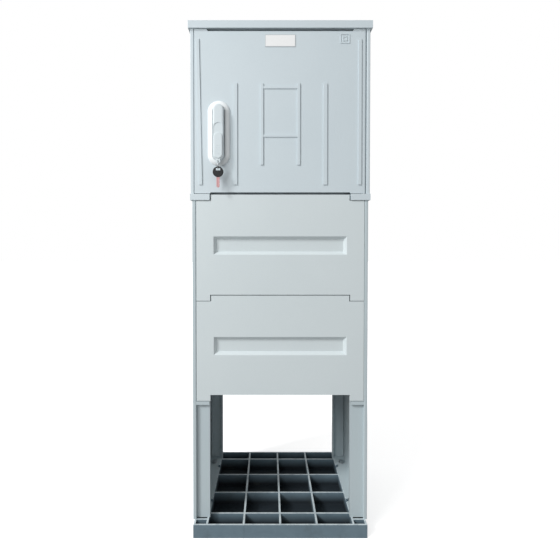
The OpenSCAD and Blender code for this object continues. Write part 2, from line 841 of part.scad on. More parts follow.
module handle_dish() {
  color(white) translate([pivot_x, 0, 0]) difference() {
    union() {
      upright(dish_front + 3, front) oblong(dish_w, dish_z0, dish_z0 + dish_l);
      upright(dish_front, dish_front + 3 + eps) oblong(dish_w - 4, dish_z0 + 2, dish_z0 + dish_l - 2);
    }
    upright(dish_front - 1, front - dish_floor) oblong(well_w, dish_z0 + 11, dish_z0 + dish_l - 11);
    along_y(0, dish_front, front + 1, pivot_z, spindle_r + run_gap);
    for (z = [-50, -100]) along_y(0, front - 2, front + 1, pivot_z + z, screw_r + run_gap);
  }
}

module dish_screws() {
  color(zinc) for (z = [-50, -100])
    screw_y(pivot_x, front - 1.8, skin_rear + fit, pivot_z + z, screw_r, 4, 2.5);
}

// Spindle with the head that the lever lifts on, a square for the pinion and a groove end
module handle_spindle() {
  color(zinc) translate([pivot_x, 0, 0]) difference() {
    union() {
      along_y(0, lever_rear + 0.2, latch_y - gear_t / 2 - fit, pivot_z, spindle_r);
      hull() {
        along_x(-head_w / 2, head_w / 2, lift_y, lift_z, lift_r);
        span([-head_w / 2, lift_y - lift_r, pivot_z - 5], [head_w / 2, lever_rear + 1, pivot_z]);
      }
      span([-square_w / 2, latch_y - gear_t / 2 - 1, pivot_z - square_w / 2],
           [square_w / 2, latch_y + gear_t / 2, pivot_z + square_w / 2]);
      along_y(0, latch_y + gear_t / 2 - 1, case_rear + 5, pivot_z, 3.5);
    }
    along_x(-20, 20, lift_y, lift_z, lift_pin_r + run_gap);
  }
}

module spindle_clip() {
  color(zinc) translate([pivot_x, 0, 0]) difference() {
    along_y(0, case_rear + fit, case_rear + fit + 1.5, pivot_z, 7);
    along_y(0, case_rear - 1, case_rear + 5, pivot_z, 3.5 + run_gap);
  }
}

module lever() {
  lid_z1 = lid_z0 + lid_l + lid_travel;
  color(handle_grey) translate([pivot_x, 0, 0]) difference() {
    union() {
      upright(lever_front + 3, lever_rear) oblong(lever_w, lever_z0, lever_z1);
      upright(lever_front, lever_front + 3 + eps) oblong(lever_w - 3, lever_z0 + 1.5, lever_z1 - 1.5);
      // eye for the key ring
      upright(lever_front, lever_front + eye_t) {
        translate([0, eye_z]) circle(r = 6);
        translate([-6, eye_z]) square([12, 8]);
      }
    }
    // slot for the spindle's head, and the lift pin's hole
    span([-head_w / 2 - 0.3, lever_front + 2, lift_z - 14.5], [head_w / 2 + 0.3, lever_rear + 1, lift_z + 5]);
    along_x(-lever_w, lever_w, lift_y, lift_z, lift_pin_r + run_gap);
    // bed of the lock cover, and the lock's bore
    upright(lever_front - 1, lever_front + lid_sink) oblong(lid_w + 0.6, lid_z0 - 0.3, lid_z1 + 0.3);
    along_y(0, lever_front - 1, lever_rear + 1, lock_z, lock_r + run_gap);
    along_y(0, lever_front - 1, lever_rear + 1, eye_z, eye_r);
  }
}

module lever_pin() {
  color(zinc) along_x(pivot_x - lever_w / 2 + 0.5, pivot_x + lever_w / 2 - 0.5, lift_y, lift_z, lift_pin_r);
}

module lock_cover() {
  y0 = lever_front + lid_sink - 0.1 - lid_t;
  color(handle_grey) translate([pivot_x, 0, 0]) difference() {
    upright(y0, y0 + lid_t) oblong(lid_w, lid_z0, lid_z0 + lid_l);
    // finger grooves
    for (i = [0:4])
      span([-lid_w / 2 + 4, y0 - 1, lid_z0 + 10 + 5 * i], [lid_w / 2 - 4, y0 + 0.7, lid_z0 + 12 + 5 * i]);
  }
}

module lock_body() {
  color(zinc) translate([pivot_x, 0, 0]) difference() {
    along_y(0, lever_front + lid_sink + 0.5, lever_rear, lock_z, lock_r);
    along_y(0, lever_front - 1, lever_rear + 1, lock_z, plug_r + run_gap);
  }
}

module lock_plug() {
  y0 = lever_front + lid_sink + 0.5;
  color(zinc) translate([pivot_x, 0, 0]) difference() {
    along_y(0, y0, lever_rear, lock_z, plug_r);
    span([-1, y0 - 1, lock_z - 3.5], [1, y0 + 6, lock_z + 3.5]);
  }
}

module key_ring() {
  color(zinc) translate([pivot_x, ring_y, ring_z]) rotate([0, 90, 0])
    rotate_extrude() translate([ring_r, 0]) circle(r = wire_r, $fn = 20);
}

module key_head() {
  color(black) translate([pivot_x, ring_y, 0]) upright(-key_t / 2, key_t / 2) difference() {
    translate([0, key_z]) circle(d = key_w);
    translate([-key_slot[0] / 2, key_slot_z - key_slot[1] / 2]) square(key_slot);
  }
}

module key_blade() {
  z1 = key_z - key_w / 2;
  color(copper) translate([pivot_x, ring_y, 0]) upright(-1, 1) difference() {
    translate([-blade_w / 2, z1 - blade_l]) square([blade_w, blade_l]);
    // cuts along one edge and the pointed tip
    for (i = [0:3]) translate([blade_w / 2, z1 - 7 - 4.5 * i]) circle(r = i % 2 == 0 ? 1.6 : 1.1, $fn = 4);
    for (m = [0, 1]) mirror([m, 0])
      translate([blade_w / 2, z1 - blade_l]) rotate(45) square(4, center = true);
  }
}

// ---------------------------------------------------------------- latch

function guide_x(i) = pivot_x + (i == 0 ? -rod_x : rod_x);

function turned(p, a) = [p[0] * cos(a) - p[1] * sin(a), p[0] * sin(a) + p[1] * cos(a)];

// Point on the involute of a circle of radius r, unrolled by t degrees
function involute(r, t) = [r * (cos(t) + t * PI / 180 * sin(t)), r * (sin(t) - t * PI / 180 * cos(t))];

module latch_case() {
  color(zinc) translate([pivot_x, 0, pivot_z]) difference() {
    union() {
      span([-case_x, skin_rear, -case_h / 2], [case_x, case_rear, case_h / 2]);
      span([-10, skin_rear, -case_h / 2 - case_ear], [10, skin_rear + 3, case_h / 2 + case_ear]);
    }
    // room behind the bearing, channels for the racks and room for the pinion
    span([-case_x + 3, skin_rear + 8, -case_h / 2 - 1],
         [case_x - 3, latch_y - gear_t / 2 - fit - case_wall, case_h / 2 + 1]);
    for (m = [0, 1]) mirror([m, 0, 0])
      span([pitch_r - tooth_add - fit, latch_y - gear_t / 2 - fit, -case_h / 2 - 1],
           [rack_back + 1, latch_y + gear_t / 2 + fit, case_h / 2 + 1]);
    along_y(0, latch_y - gear_t / 2 - fit, latch_y + gear_t / 2 + fit, 0, pitch_r + tooth_add + 0.6);
    along_y(0, skin_rear - 1, latch_y, 0, spindle_r + run_gap);
    along_y(0, latch_y, case_rear + 1, 0, 3.5 + run_gap);
    for (s = [-1, 1])
      along_y(0, skin_rear - 1, skin_rear + 4, s * (case_h + case_ear) / 2, screw_r + thread_gap);
  }
}

module latch_case_screws() {
  color(zinc) for (s = [-1, 1])
    screw_y(pivot_x, front + fit, skin_rear + 3 + fit, pivot_z + s * (case_h + case_ear) / 2,
            screw_r, 3.8, 2.5);
}

module latch_pinion() {
  base_r = pitch_r * cos(pressure);
  root_r = pitch_r - tooth_ded;
  steps = 6;
  // roll angle at the tooth's tip, and half of the tooth's angle at the base circle
  tip_t = sqrt(pow((pitch_r + tooth_add) / base_r, 2) - 1) * 180 / PI;
  half = 90 / pinion_teeth + tan(pressure) * 180 / PI - pressure;
  low = [for (i = [0:steps]) involute(base_r, tip_t * i / steps)];
  tooth = concat([turned([root_r, 0], -half)], [for (p = low) turned(p, -half)],
    [for (i = [steps:-1:0]) turned([low[i][0], -low[i][1]], half)], [turned([root_r, 0], half)]);
  outline = [for (k = [0:pinion_teeth - 1], p = tooth) turned(p, k * 360 / pinion_teeth)];
  color(zinc) translate([pivot_x, 0, pivot_z]) upright(latch_y - gear_t / 2, latch_y + gear_t / 2)
    difference() {
      polygon(outline);
      square(square_w + 2 * run_gap, center = true);
    }
}

// Right-hand rack from z0 to z1, heights counted from the pinion's axis
module rack(z0, z1) {
  tip = rack_pitch / 4 - backlash / 2 - tooth_add * tan(pressure);
  root = rack_pitch / 4 - backlash / 2 + tooth_ded * tan(pressure);
  teeth = [ceil((z0 + 2) / rack_pitch - 0.5) : floor((z1 - 2) / rack_pitch - 0.5)];
  upright(latch_y - gear_t / 2, latch_y + gear_t / 2)
    polygon(concat([[rack_back, z1], [rack_back, z0], [rack_root, z0]],
      [for (k = teeth, p = [[tooth_ded, -root], [-tooth_add, -tip], [-tooth_add, tip], [tooth_ded, root]])
        [pitch_r + p[0], (k + 0.5) * rack_pitch + p[1]]],
      [[rack_root, z1]]));
}

module rack_upper() {
  color(zinc) translate([pivot_x, 0, pivot_z]) left() rack(-8, rack_up);
}

module rack_lower() {
  color(zinc) translate([pivot_x, 0, pivot_z]) rotate([0, 180, 0]) left() rack(-8, rack_up);
}

// Latch rod from z0 to z1, its end cone at the top if up is true
module latch_rod(x, z0, z1, up) {
  tip = rod_r - 1.5;
  color(zinc) translate([x, latch_y, 0]) rotate_extrude()
    polygon([[0, z0], [up ? rod_r : tip, z0], [rod_r, up ? z0 : z0 + 4],
      [rod_r, up ? z1 - 4 : z1], [up ? tip : rod_r, z1], [0, z1]]);
}

module rod_upper() {
  latch_rod(guide_x(0), pivot_z + rack_up + 0.05, frame_high - 1, true);
}

module rod_lower() {
  latch_rod(guide_x(1), frame_low + 1, pivot_z - rack_up - 0.05, false);
}

module rod_guides() {
  color(zinc) for (i = [0, 1]) translate([guide_x(i), 0, guide_z[i]]) difference() {
    union() {
      span([-7.5, skin_rear, -6], [7.5, latch_y + 7, 6]);
      span([0, skin_rear, -6], [20, skin_rear + 3, 6]);
    }
    translate([0, latch_y, -10]) cylinder(r = rod_r + run_gap, h = 20);
    along_y(15, skin_rear - 1, skin_rear + 5, 0, screw_r + thread_gap);
  }
}

module guide_screws() {
  color(zinc) for (i = [0, 1])
    screw_y(guide_x(i) + 15, front + 1.3, skin_rear + 3 + fit, guide_z[i], screw_r, 3.8, 2.5);
}

// ---------------------------------------------------------------- assembly

base_grid();
plinth_wall_left();
plinth_wall_right();
collar_frame();
front_cover_upper();
front_cover_lower();
back_cover_upper();
back_cover_lower();
cover_grommets_front();
cover_grommets_back();
foot_bolts();
foot_washers();
collar_bolts();
collar_nuts();
clamp_rail();
rail_bolts();
cabinet_wall_left();
cabinet_wall_right();
cabinet_back();
back_screws();
roof();
roof_screws();
lintel();
sill();
frame_screws();
floor_plate_front();
floor_plate_rear();
mounting_plate();
board_spacers();
board_screws();
door_panel();
door_gasket();
label_plate();
hinge_pins();
hinge_washers();
handle_dish();
dish_screws();
handle_spindle();
spindle_clip();
lever();
lever_pin();
lock_cover();
lock_body();
lock_plug();
key_ring();
key_head();
key_blade();
latch_case();
latch_case_screws();
latch_pinion();
rack_upper();
rod_upper();
rack_lower();
rod_lower();
rod_guides();
guide_screws();
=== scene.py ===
import math
import json
import bpy
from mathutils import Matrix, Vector


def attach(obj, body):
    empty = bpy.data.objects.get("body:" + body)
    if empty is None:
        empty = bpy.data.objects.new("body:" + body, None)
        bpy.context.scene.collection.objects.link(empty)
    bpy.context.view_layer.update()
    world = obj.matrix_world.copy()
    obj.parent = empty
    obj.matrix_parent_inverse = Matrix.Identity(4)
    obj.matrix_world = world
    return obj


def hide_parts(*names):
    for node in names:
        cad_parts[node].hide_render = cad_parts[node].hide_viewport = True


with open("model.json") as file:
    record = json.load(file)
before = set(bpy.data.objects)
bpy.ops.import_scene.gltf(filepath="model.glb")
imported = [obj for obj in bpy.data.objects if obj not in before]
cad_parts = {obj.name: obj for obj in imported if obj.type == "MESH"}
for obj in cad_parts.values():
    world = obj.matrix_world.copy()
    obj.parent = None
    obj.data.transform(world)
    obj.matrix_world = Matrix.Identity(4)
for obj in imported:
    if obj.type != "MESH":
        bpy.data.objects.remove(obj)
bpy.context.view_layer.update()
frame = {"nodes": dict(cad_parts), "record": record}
mm = 0.001

# sockets of a colour Mix node: its two colours and its result
mixA, mixB, mixOut = 6, 7, 2

# wide lens close to the cabinet's front, almost level: lens in mm, shifts as shares of the frame's width
cameraSet = {"lens": 26.171, "shiftX": 0.02018, "shiftY": -0.05357, "tilt": 0.97,
             "place": (-0.0296, -1.2065, 0.7518)}


def addCamera(values):
    data = bpy.data.cameras.new("studioCamera")
    data.sensor_width = 36
    data.lens = values["lens"]
    data.shift_x = values["shiftX"]
    data.shift_y = values["shiftY"]
    camera = bpy.data.objects.new("studioCamera", data)
    camera.location = values["place"]
    camera.rotation_euler = (math.radians(90 - values["tilt"]), 0, 0)
    bpy.context.scene.collection.objects.link(camera)
    bpy.context.scene.camera = camera


addCamera(cameraSet)
print("camera set")


def linear(hexColour):
    parts = [int(hexColour[i:i + 2], 16) / 255 for i in (1, 3, 5)]
    return [c / 12.92 if c < 0.04045 else ((c + 0.055) / 1.055) ** 2.4 for c in parts] + [1]


def scaleOf(size):
    # noise scale whose patches are about this many mm across
    return 1 / (size * mm)


def addNode(tree, kind, settings=None, links=None):
    # settings go to the node's own property or to its input socket, links come from (node, output)
    node = tree.nodes.new(kind)
    for name, value in (settings or {}).items():
        if isinstance(name, str) and hasattr(node, name):
            setattr(node, name, value)
        else:
            node.inputs[name].default_value = value
    for name, (source, output) in (links or {}).items():
        tree.links.new(source.outputs[output], node.inputs[name])
    return node


def newMaterial(name):
    material = bpy.data.materials.new(name)
    material.use_nodes = True
    tree = material.node_tree
    tree.nodes.clear()
    return material, tree


def deselectAll():
    if bpy.context.object and bpy.context.object.mode != "OBJECT":
        bpy.ops.object.mode_set(mode="OBJECT")
    bpy.ops.object.select_all(action="DESELECT")


def makeActive(piece):
    deselectAll()
    piece.select_set(True)
    bpy.context.view_layer.objects.active = piece


def deselectMesh(piece):
    # nothing of the mesh stays selected, so that code can pick its own points, edges or faces
    for group in (piece.data.polygons, piece.data.edges, piece.data.vertices):
        for part in group:
            part.select = False


def cleaned(text):
    first, *rest = text.split("_")
    return first + "".join(word.capitalize() for word in rest)


def corners(node):
    # low and high corner of a CAD node, in mm
    points = [vertex.co for vertex in frame["nodes"][node].data.vertices]
    return [Vector([pick(p[i] for p in points) for i in range(3)]) / mm for pick in (min, max)]


def applyModifier(piece, kind, **settings):
    makeActive(piece)
    step = piece.modifiers.new("step", kind)
    for name, value in settings.items():
        setattr(step, name, value)
    bpy.ops.object.modifier_apply(modifier="step")


bodyOfNode = {n: b for b, names in frame["record"]["behaviour"]["bodies"].items() for n in names}
slotOfNode = {s["node"]: s["material_slot"] for s in frame["record"]["subparts"]}


def finishPiece(piece, material, node, angle=35):
    # material, smooth shading, body and replaced node of a finished piece
    if material:
        piece.data.materials.clear()
        piece.data.materials.append(material)
    makeActive(piece)
    bpy.ops.object.shade_smooth_by_angle(angle=math.radians(angle))
    applyModifier(piece, "WEIGHTED_NORMAL", mode="FACE_AREA", keep_sharp=True)
    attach(piece, bodyOfNode[node])
    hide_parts(node)


def mergedCopy(node):
    # copy of a CAD node with its triangles merged into whole faces
    piece = bpy.data.objects.new(cleaned(node) + "Form", frame["nodes"][node].data.copy())
    bpy.context.scene.collection.objects.link(piece)
    makeActive(piece)
    bpy.ops.object.mode_set(mode="EDIT")
    bpy.ops.mesh.select_all(action="SELECT")
    bpy.ops.mesh.remove_doubles(threshold=0.01 * mm)
    bpy.ops.mesh.dissolve_limited(angle_limit=math.radians(1))
    bpy.ops.object.mode_set(mode="OBJECT")
    return piece


def soften(piece, width, segments=2, angle=28):
    # rounds every edge sharper than the angle, width in mm
    applyModifier(piece, "BEVEL", width=width * mm, segments=segments, limit_method="ANGLE",
                  angle_limit=math.radians(angle), use_clamp_overlap=True)


def roundEnded(name, width, z0, z1, x, y, steps):
    # upright plate with half-round ends, back at y: its front face is inset and raised step by step, in mm
    deselectAll()
    bpy.ops.mesh.primitive_circle_add(vertices=58, radius=width * mm / 2, fill_type="NGON",
                                      rotation=(math.radians(90), 0, 0))
    piece = bpy.context.object
    piece.name = name
    bpy.ops.object.transform_apply(location=True, rotation=True, scale=True)
    deselectMesh(piece)
    for vertex in piece.data.vertices:
        vertex.select = vertex.co.z > 0
    bpy.ops.object.mode_set(mode="EDIT")
    bpy.ops.mesh.select_mode(type="VERT")
    bpy.ops.transform.translate(value=(0, 0, (z1 - z0 - width) * mm))
    bpy.ops.mesh.select_mode(type="FACE")
    bpy.ops.mesh.select_all(action="SELECT")
    bpy.ops.transform.translate(value=(x * mm, y * mm, (z0 + width / 2) * mm))
    for inset, rise in steps:
        if inset == 0:
            bpy.ops.mesh.extrude_region_move(TRANSFORM_OT_translate={"value": (0, -rise * mm, 0)})
        else:
            bpy.ops.mesh.inset(thickness=inset * mm, depth=rise * mm)
    bpy.ops.mesh.select_all(action="SELECT")
    bpy.ops.mesh.normals_make_consistent(inside=False)
    bpy.ops.object.mode_set(mode="OBJECT")
    return piece


def rod(radius, start, end, axis, sides=32):
    # round bar from start to end along x or y, in mm
    deselectAll()
    turn = {"x": (0, math.radians(90), 0), "y": (math.radians(90), 0, 0)}[axis]
    middle = [(a + b) / 2 * mm for a, b in zip(start, end)]
    length = max(b - a for a, b in zip(start, end)) * mm
    bpy.ops.mesh.primitive_cylinder_add(vertices=sides, radius=radius * mm, depth=length, location=middle,
                                        rotation=turn)
    bpy.ops.object.transform_apply(location=True, rotation=True, scale=True)
    return bpy.context.object


def block(low, high):
    # box between two corners, in mm
    deselectAll()
    bpy.ops.mesh.primitive_cube_add(size=1, location=[(a + b) / 2 * mm for a, b in zip(low, high)],
                                    scale=[(b - a) * mm for a, b in zip(low, high)])
    bpy.ops.object.transform_apply(location=True, rotation=True, scale=True)
    return bpy.context.object


def combine(piece, tool, operation="DIFFERENCE"):
    applyModifier(piece, "BOOLEAN", operation=operation, object=tool, solver="EXACT")
    bpy.data.objects.remove(tool)


# sizes in mm: tone clouds of the pressed sheet, orange peel, and glass fibre ends, which are finer on the
# real sheet and are drawn coarse enough to show
polyesterSet = {"colour": "#ced9de", "shade": "#c7d3d9", "roughness": 0.44, "cloud": 250, "peel": 2.4,
                "speck": 0.9}
# lighter, slightly warmer copy of the polyester for the covers: the lightness is painted light, the warmer
# tint their own
coverLitWarmTone = {"colour": "#d4dddf", "shade": "#cdd7da"}
# darker copy of the polyester for the plinth walls: painted shade
plinthShadeTone = {"colour": "#becbcf", "shade": "#b6c3c8"}


def mouldedPolyester(name, values):
    # glass-filled polyester, pressed hot in a steel mould: an even, satin grey with a faint cloudiness
    # and orange peel
    material, tree = newMaterial(name)
    place = addNode(tree, "ShaderNodeTexCoord")
    cloud = addNode(tree, "ShaderNodeTexNoise",
                    {"Scale": scaleOf(values["cloud"]), "Detail": 5, "Roughness": 0.6},
                    {"Vector": (place, "Object")})
    speck = addNode(tree, "ShaderNodeTexNoise", {"Scale": scaleOf(values["speck"]), "Detail": 2},
                    {"Vector": (place, "Object")})
    tint = addNode(tree, "ShaderNodeMix",
                   {"data_type": "RGBA", mixA: linear(values["shade"]), mixB: linear(values["colour"])},
                   {0: (cloud, "Fac")})
    dots = addNode(tree, "ShaderNodeMapRange",
                   {"From Min": 0.3, "From Max": 0.7, "To Min": 0.97, "To Max": 1.03},
                   {"Value": (speck, "Fac")})
    colour = addNode(tree, "ShaderNodeVectorMath", {"operation": "SCALE"},
                     {0: (tint, mixOut), "Scale": (dots, 0)})
    rough = addNode(tree, "ShaderNodeMapRange",
                    {"From Min": 0.3, "From Max": 0.7, "To Min": values["roughness"] - 0.05,
                     "To Max": values["roughness"] + 0.07}, {"Value": (cloud, "Fac")})
    peel = addNode(tree, "ShaderNodeTexNoise", {"Scale": scaleOf(values["peel"]), "Detail": 3},
                   {"Vector": (place, "Object")})
    bump = addNode(tree, "ShaderNodeBump", {"Strength": 0.1, "Distance": 0.4 * mm}, {"Height": (peel, "Fac")})
    shader = addNode(tree, "ShaderNodeBsdfPrincipled", {"IOR": 1.52},
                     {"Base Color": (colour, 0), "Roughness": (rough, 0), "Normal": (bump, 0)})
    addNode(tree, "ShaderNodeOutputMaterial", {}, {"Surface": (shader, 0)})
    return material


# sizes in mm: swirls of the mixed plastic, patches that break up the painted highlight, earth stains and the
# moulded grain, which is drawn coarse enough to show; bands are depths below the grid's top face and behind
# its front face, for the painted highlight and the painted shade of the cells
gridSet = {"colour": "#748893", "dark": "#617480", "scuffed": "#ccd7db", "soiled": "#141a20",
           "earth": "#3d3f37", "roughness": 0.55, "swirl": 45.5, "patch": 16.7, "stain": 71.4, "grain": 1.7,
           "wornBand": (6, 1), "soilBand": (3, 26), "frontBand": (0.5, 2)}


def mouldedGridPlastic(values):
    # recycled polypropylene, injection moulded: dull grey with darker swirls and earth stains, a painted
    # highlight on its top edges and painted shade mixed with soil that darkens its cells towards the ground
    material, tree = newMaterial("polypropyleneRecycledDull")
    place = addNode(tree, "ShaderNodeTexCoord")
    # the plinth stands on the grid's top face, and the front face is as far out as the back one
    topFace = corners("plinth_wall_left")[0].z
    backFace = corners("base_grid")[1].y
    highlightLow, highlightHigh = [(topFace - depth) * mm for depth in values["wornBand"]]
    shadeSoilHigh, shadeSoilLow = [(topFace - depth) * mm for depth in values["soilBand"]]
    frontOut, frontIn = [(depth - backFace) * mm for depth in values["frontBand"]]
    swirl = addNode(tree, "ShaderNodeTexNoise",
                    {"Scale": scaleOf(values["swirl"]), "Detail": 6, "Distortion": 1.2},
                    {"Vector": (place, "Object")})
    patch = addNode(tree, "ShaderNodeTexNoise", {"Scale": scaleOf(values["patch"]), "Detail": 5},
                    {"Vector": (place, "Object")})
    stain = addNode(tree, "ShaderNodeTexNoise",
                    {"Scale": scaleOf(values["stain"]), "Detail": 6, "Roughness": 0.7},
                    {"Vector": (place, "Object")})
    grain = addNode(tree, "ShaderNodeTexNoise", {"Scale": scaleOf(values["grain"]), "Detail": 3},
                    {"Vector": (place, "Object")})
    spot = addNode(tree, "ShaderNodeSeparateXYZ", {}, {0: (place, "Object")})
    shape = addNode(tree, "ShaderNodeNewGeometry")
    facing = addNode(tree, "ShaderNodeSeparateXYZ", {}, {0: (shape, "Normal")})

    # painted highlight on the top edges: faces that look up, near the top, broken up in patches
    upward = addNode(tree, "ShaderNodeMapRange", {"From Min": 0.6, "From Max": 0.95}, {"Value": (facing, 2)})
    nearTop = addNode(tree, "ShaderNodeMapRange", {"From Min": highlightLow, "From Max": highlightHigh},
                      {"Value": (spot, 2)})
    broken = addNode(tree, "ShaderNodeMapRange", {"From Min": 0.3, "From Max": 0.55, "To Min": 0.55},
                     {"Value": (patch, "Fac")})
    top = addNode(tree, "ShaderNodeMath", {"operation": "MULTIPLY"}, {0: (upward, 0), 1: (nearTop, 0)})
    highlightMask = addNode(tree, "ShaderNodeMath", {"operation": "MULTIPLY"}, {0: (top, 0), 1: (broken, 0)})

    # painted shade mixed with soil: everything behind the front face, darker the deeper it lies
    deep = addNode(tree, "ShaderNodeMapRange", {"From Min": shadeSoilHigh, "From Max": shadeSoilLow, "To Max": 0.93},
                   {"Value": (spot, 2)})
    inside = addNode(tree, "ShaderNodeMapRange", {"From Min": frontOut, "From Max": frontIn},
                     {"Value": (spot, 1)})
    soilAndShade = addNode(tree, "ShaderNodeMath", {"operation": "MULTIPLY"}, {0: (inside, 0), 1: (deep, 0)})
    stained = addNode(tree, "ShaderNodeMapRange", {"From Min": 0.56, "From Max": 0.72, "To Max": 0.5},
                      {"Value": (stain, "Fac")})
    faint = addNode(tree, "ShaderNodeMath", {"operation": "MULTIPLY", 1: 0.45}, {0: (stained, 0)})

    plain = addNode(tree, "ShaderNodeMix",
                    {"data_type": "RGBA", mixA: linear(values["dark"]), mixB: linear(values["colour"])},
                    {0: (swirl, "Fac")})
    # soil in painted shade, lightened where the earth stains lie
    earth = addNode(tree, "ShaderNodeMix",
                    {"data_type": "RGBA", mixA: linear(values["soiled"]), mixB: linear(values["earth"])},
                    {0: (stained, 0)})
    base = addNode(tree, "ShaderNodeMix", {"data_type": "RGBA", mixB: linear(values["earth"])},
                   {0: (faint, 0), mixA: (plain, mixOut)})
    # the painted highlight laid over the plastic
    highlighted = addNode(tree, "ShaderNodeMix", {"data_type": "RGBA", mixB: linear(values["scuffed"])},
                    {0: (highlightMask, 0), mixA: (base, mixOut)})
    # painted shade and soil over everything behind the front face
    colour = addNode(tree, "ShaderNodeMix", {"data_type": "RGBA"},
                     {0: (soilAndShade, 0), mixA: (highlighted, mixOut), mixB: (earth, mixOut)})
    bump = addNode(tree, "ShaderNodeBump", {"Strength": 0.2, "Distance": 0.5 * mm},
                   {"Height": (grain, "Fac")})
    shader = addNode(tree, "ShaderNodeBsdfPrincipled", {"IOR": 1.49, "Roughness": values["roughness"]},
                     {"Base Color": (colour, mixOut), "Normal": (bump, 0)})
    addNode(tree, "ShaderNodeOutputMaterial", {}, {"Surface": (shader, 0)})
    return material


def plainFinish(name, colour, roughness, grain, bump, metallic=0.0, spread=0.03):
    # small mouldings and metal parts: one colour, uneven by the spread, and a surface grain so many mm across
    material, tree = newMaterial(name)
    place = addNode(tree, "ShaderNodeTexCoord")
    noise = addNode(tree, "ShaderNodeTexNoise", {"Scale": scaleOf(grain), "Detail": 4},
                    {"Vector": (place, "Object")})
    tone = linear(colour)
    low = [c * (1 - spread) for c in tone[:3]] + [1]
    high = [min(1, c * (1 + spread)) for c in tone[:3]] + [1]
    tint = addNode(tree, "ShaderNodeMix", {"data_type": "RGBA", mixA: low, mixB: high}, {0: (noise, "Fac")})
    rough = addNode(tree, "ShaderNodeMapRange", {"To Min": roughness - 0.06, "To Max": roughness + 0.06},
                    {"Value": (noise, "Fac")})
    relief = addNode(tree, "ShaderNodeBump", {"Strength": bump, "Distance": 0.3 * mm},
                     {"Height": (noise, "Fac")})
    shader = addNode(tree, "ShaderNodeBsdfPrincipled", {"Metallic": metallic},
                     {"Base Color": (tint, mixOut), "Roughness": (rough, 0), "Normal": (relief, 0)})
    addNode(tree, "ShaderNodeOutputMaterial", {}, {"Surface": (shader, 0)})
    return material


polyester = mouldedPolyester("polyesterMouldedSatin", polyesterSet)
# covers: painted light, as a lighter copy of the polyester with a warmer tint of their own
coverLitWarmPolyester = mouldedPolyester("polyesterMouldedCover", {**polyesterSet, **coverLitWarmTone})
# plinth walls: painted shade, as a darker copy of the polyester
plinthShadedPolyester = mouldedPolyester("polyesterMouldedPlinth", {**polyesterSet, **plinthShadeTone})
gridPlastic = mouldedGridPlastic(gridSet)
# the grains below are finer on the real parts and are drawn coarse enough to show, apart from the crystal
# patches of the galvanised sheet, which are about as wide as real ones
# nylon, moulded against polished steel: clean white with a tight, soft-edged highlight
whiteNylon = plainFinish("nylonWhiteGloss", "#eef3f5", 0.3, 2.0, 0.06)
# nylon, moulded against blasted steel: pale grey, its highlight spread by a faint texture
paleNylon = plainFinish("nylonPaleGreySatin", "#d3dde1", 0.36, 2.0, 0.1)
# ABS, moulded with a leather-like grain: near black, with small broken glints
blackPlastic = plainFinish("plasticBlackGrained", "#15171a", 0.4, 1.4, 0.2, spread=0.1)
# steel, zinc plated in a barrel: cool, bright grey that is a little patchy
zinc = plainFinish("steelZincPlated", "#b4b8bb", 0.34, 3.8, 0.1, metallic=1.0, spread=0.08)
# steel sheet, hot-dip galvanised and weathered: duller, in broad, faint crystal patches
sheetZinc = plainFinish("steelGalvanisedDull", "#a9adaf", 0.5, 22, 0.06, metallic=1.0, spread=0.16)
# EPDM rubber, foamed and extruded: matt and dark, with a fine open grain
rubber = plainFinish("rubberBlackMatt", "#1d1f20", 0.75, 1.1, 0.3, spread=0.15)
# brass, stamped and washed with copper: pinkish and dulled, half metal and half tarnish
keyMetal = plainFinish("brassCopperedDull", "#cf9fa1", 0.45, 2.5, 0.15, metallic=0.5, spread=0.12)
# vinyl film, calendered and stuck on flat: even white with a grey border, smooth
labelFilm = plainFinish("vinylWhiteSatin", "#f0f1f1", 0.3, 3.3, 0.03)
labelBorder = plainFinish("vinylGreySatin", "#c2c8cb", 0.3, 3.3, 0.03)
print("materials made")

# sizes of the handle's pieces are in mm, and steps are (inset, rise) of the front face
dishSet = {"wall": 0.8, "rim": [(0.7, 1.3), (1.3, 1.7), (2.2, 1.7), (3.0, 1.5), (3.0, 1.0), (1.5, 0.25)],
           "lip": [(0.3, -0.3), (0.3, -0.8), (0.1, -4.6)], "shaftHole": 6.1, "screwHole": 2.1,
           "screwDrops": (50, 100)}


def addDish(values):
    # dished escutcheon: a rounded rim that falls into the well round the lever
    low, high = corners("handle_dish")
    middle = (low.x + high.x) / 2
    steps = [(0, values["wall"])] + values["rim"] + values["lip"]
    dish = roundEnded("handleDishForm", high.x - low.x, low.z, high.z, middle, high.y, steps)
    leverLow, leverHigh = corners("lever")
    pivot = leverHigh.z - (leverHigh.x - leverLow.x) / 2
    combine(dish, rod(values["shaftHole"], (middle, low.y, pivot), (middle, high.y + 1, pivot), "y"))
    for drop in values["screwDrops"]:
        combine(dish, rod(values["screwHole"], (middle, high.y - 2, pivot - drop),
                          (middle, high.y + 1, pivot - drop), "y", 20))
    finishPiece(dish, whiteNylon, "handle_dish", 50)


# the eye is the round tab for the key ring, the slot takes the spindle's head, and the bed the lock cover
leverSet = {"side": 8.2, "crown": [(0.25, 1.3), (0.7, 1.1), (1.2, 0.8), (1.9, 0.45), (2.6, 0.13)],
            "eyeWidth": 12, "eyeHole": 2.5, "eyeSteps": [(0, 2.8), (0.4, 0.7), (0.6, 0.35)], "eyeLength": 20,
            "eyeInset": 4, "gripStart": 3, "slotHalf": 5.3, "slotDown": 14.5, "slotUp": 5, "slotFace": 2,
            "pinHole": 2.1, "bedSpare": 0.3, "bedTravel": 25, "bedFace": 1.3, "bedDepth": 4,
            "lockSpare": 0.05, "edge": 0.3}


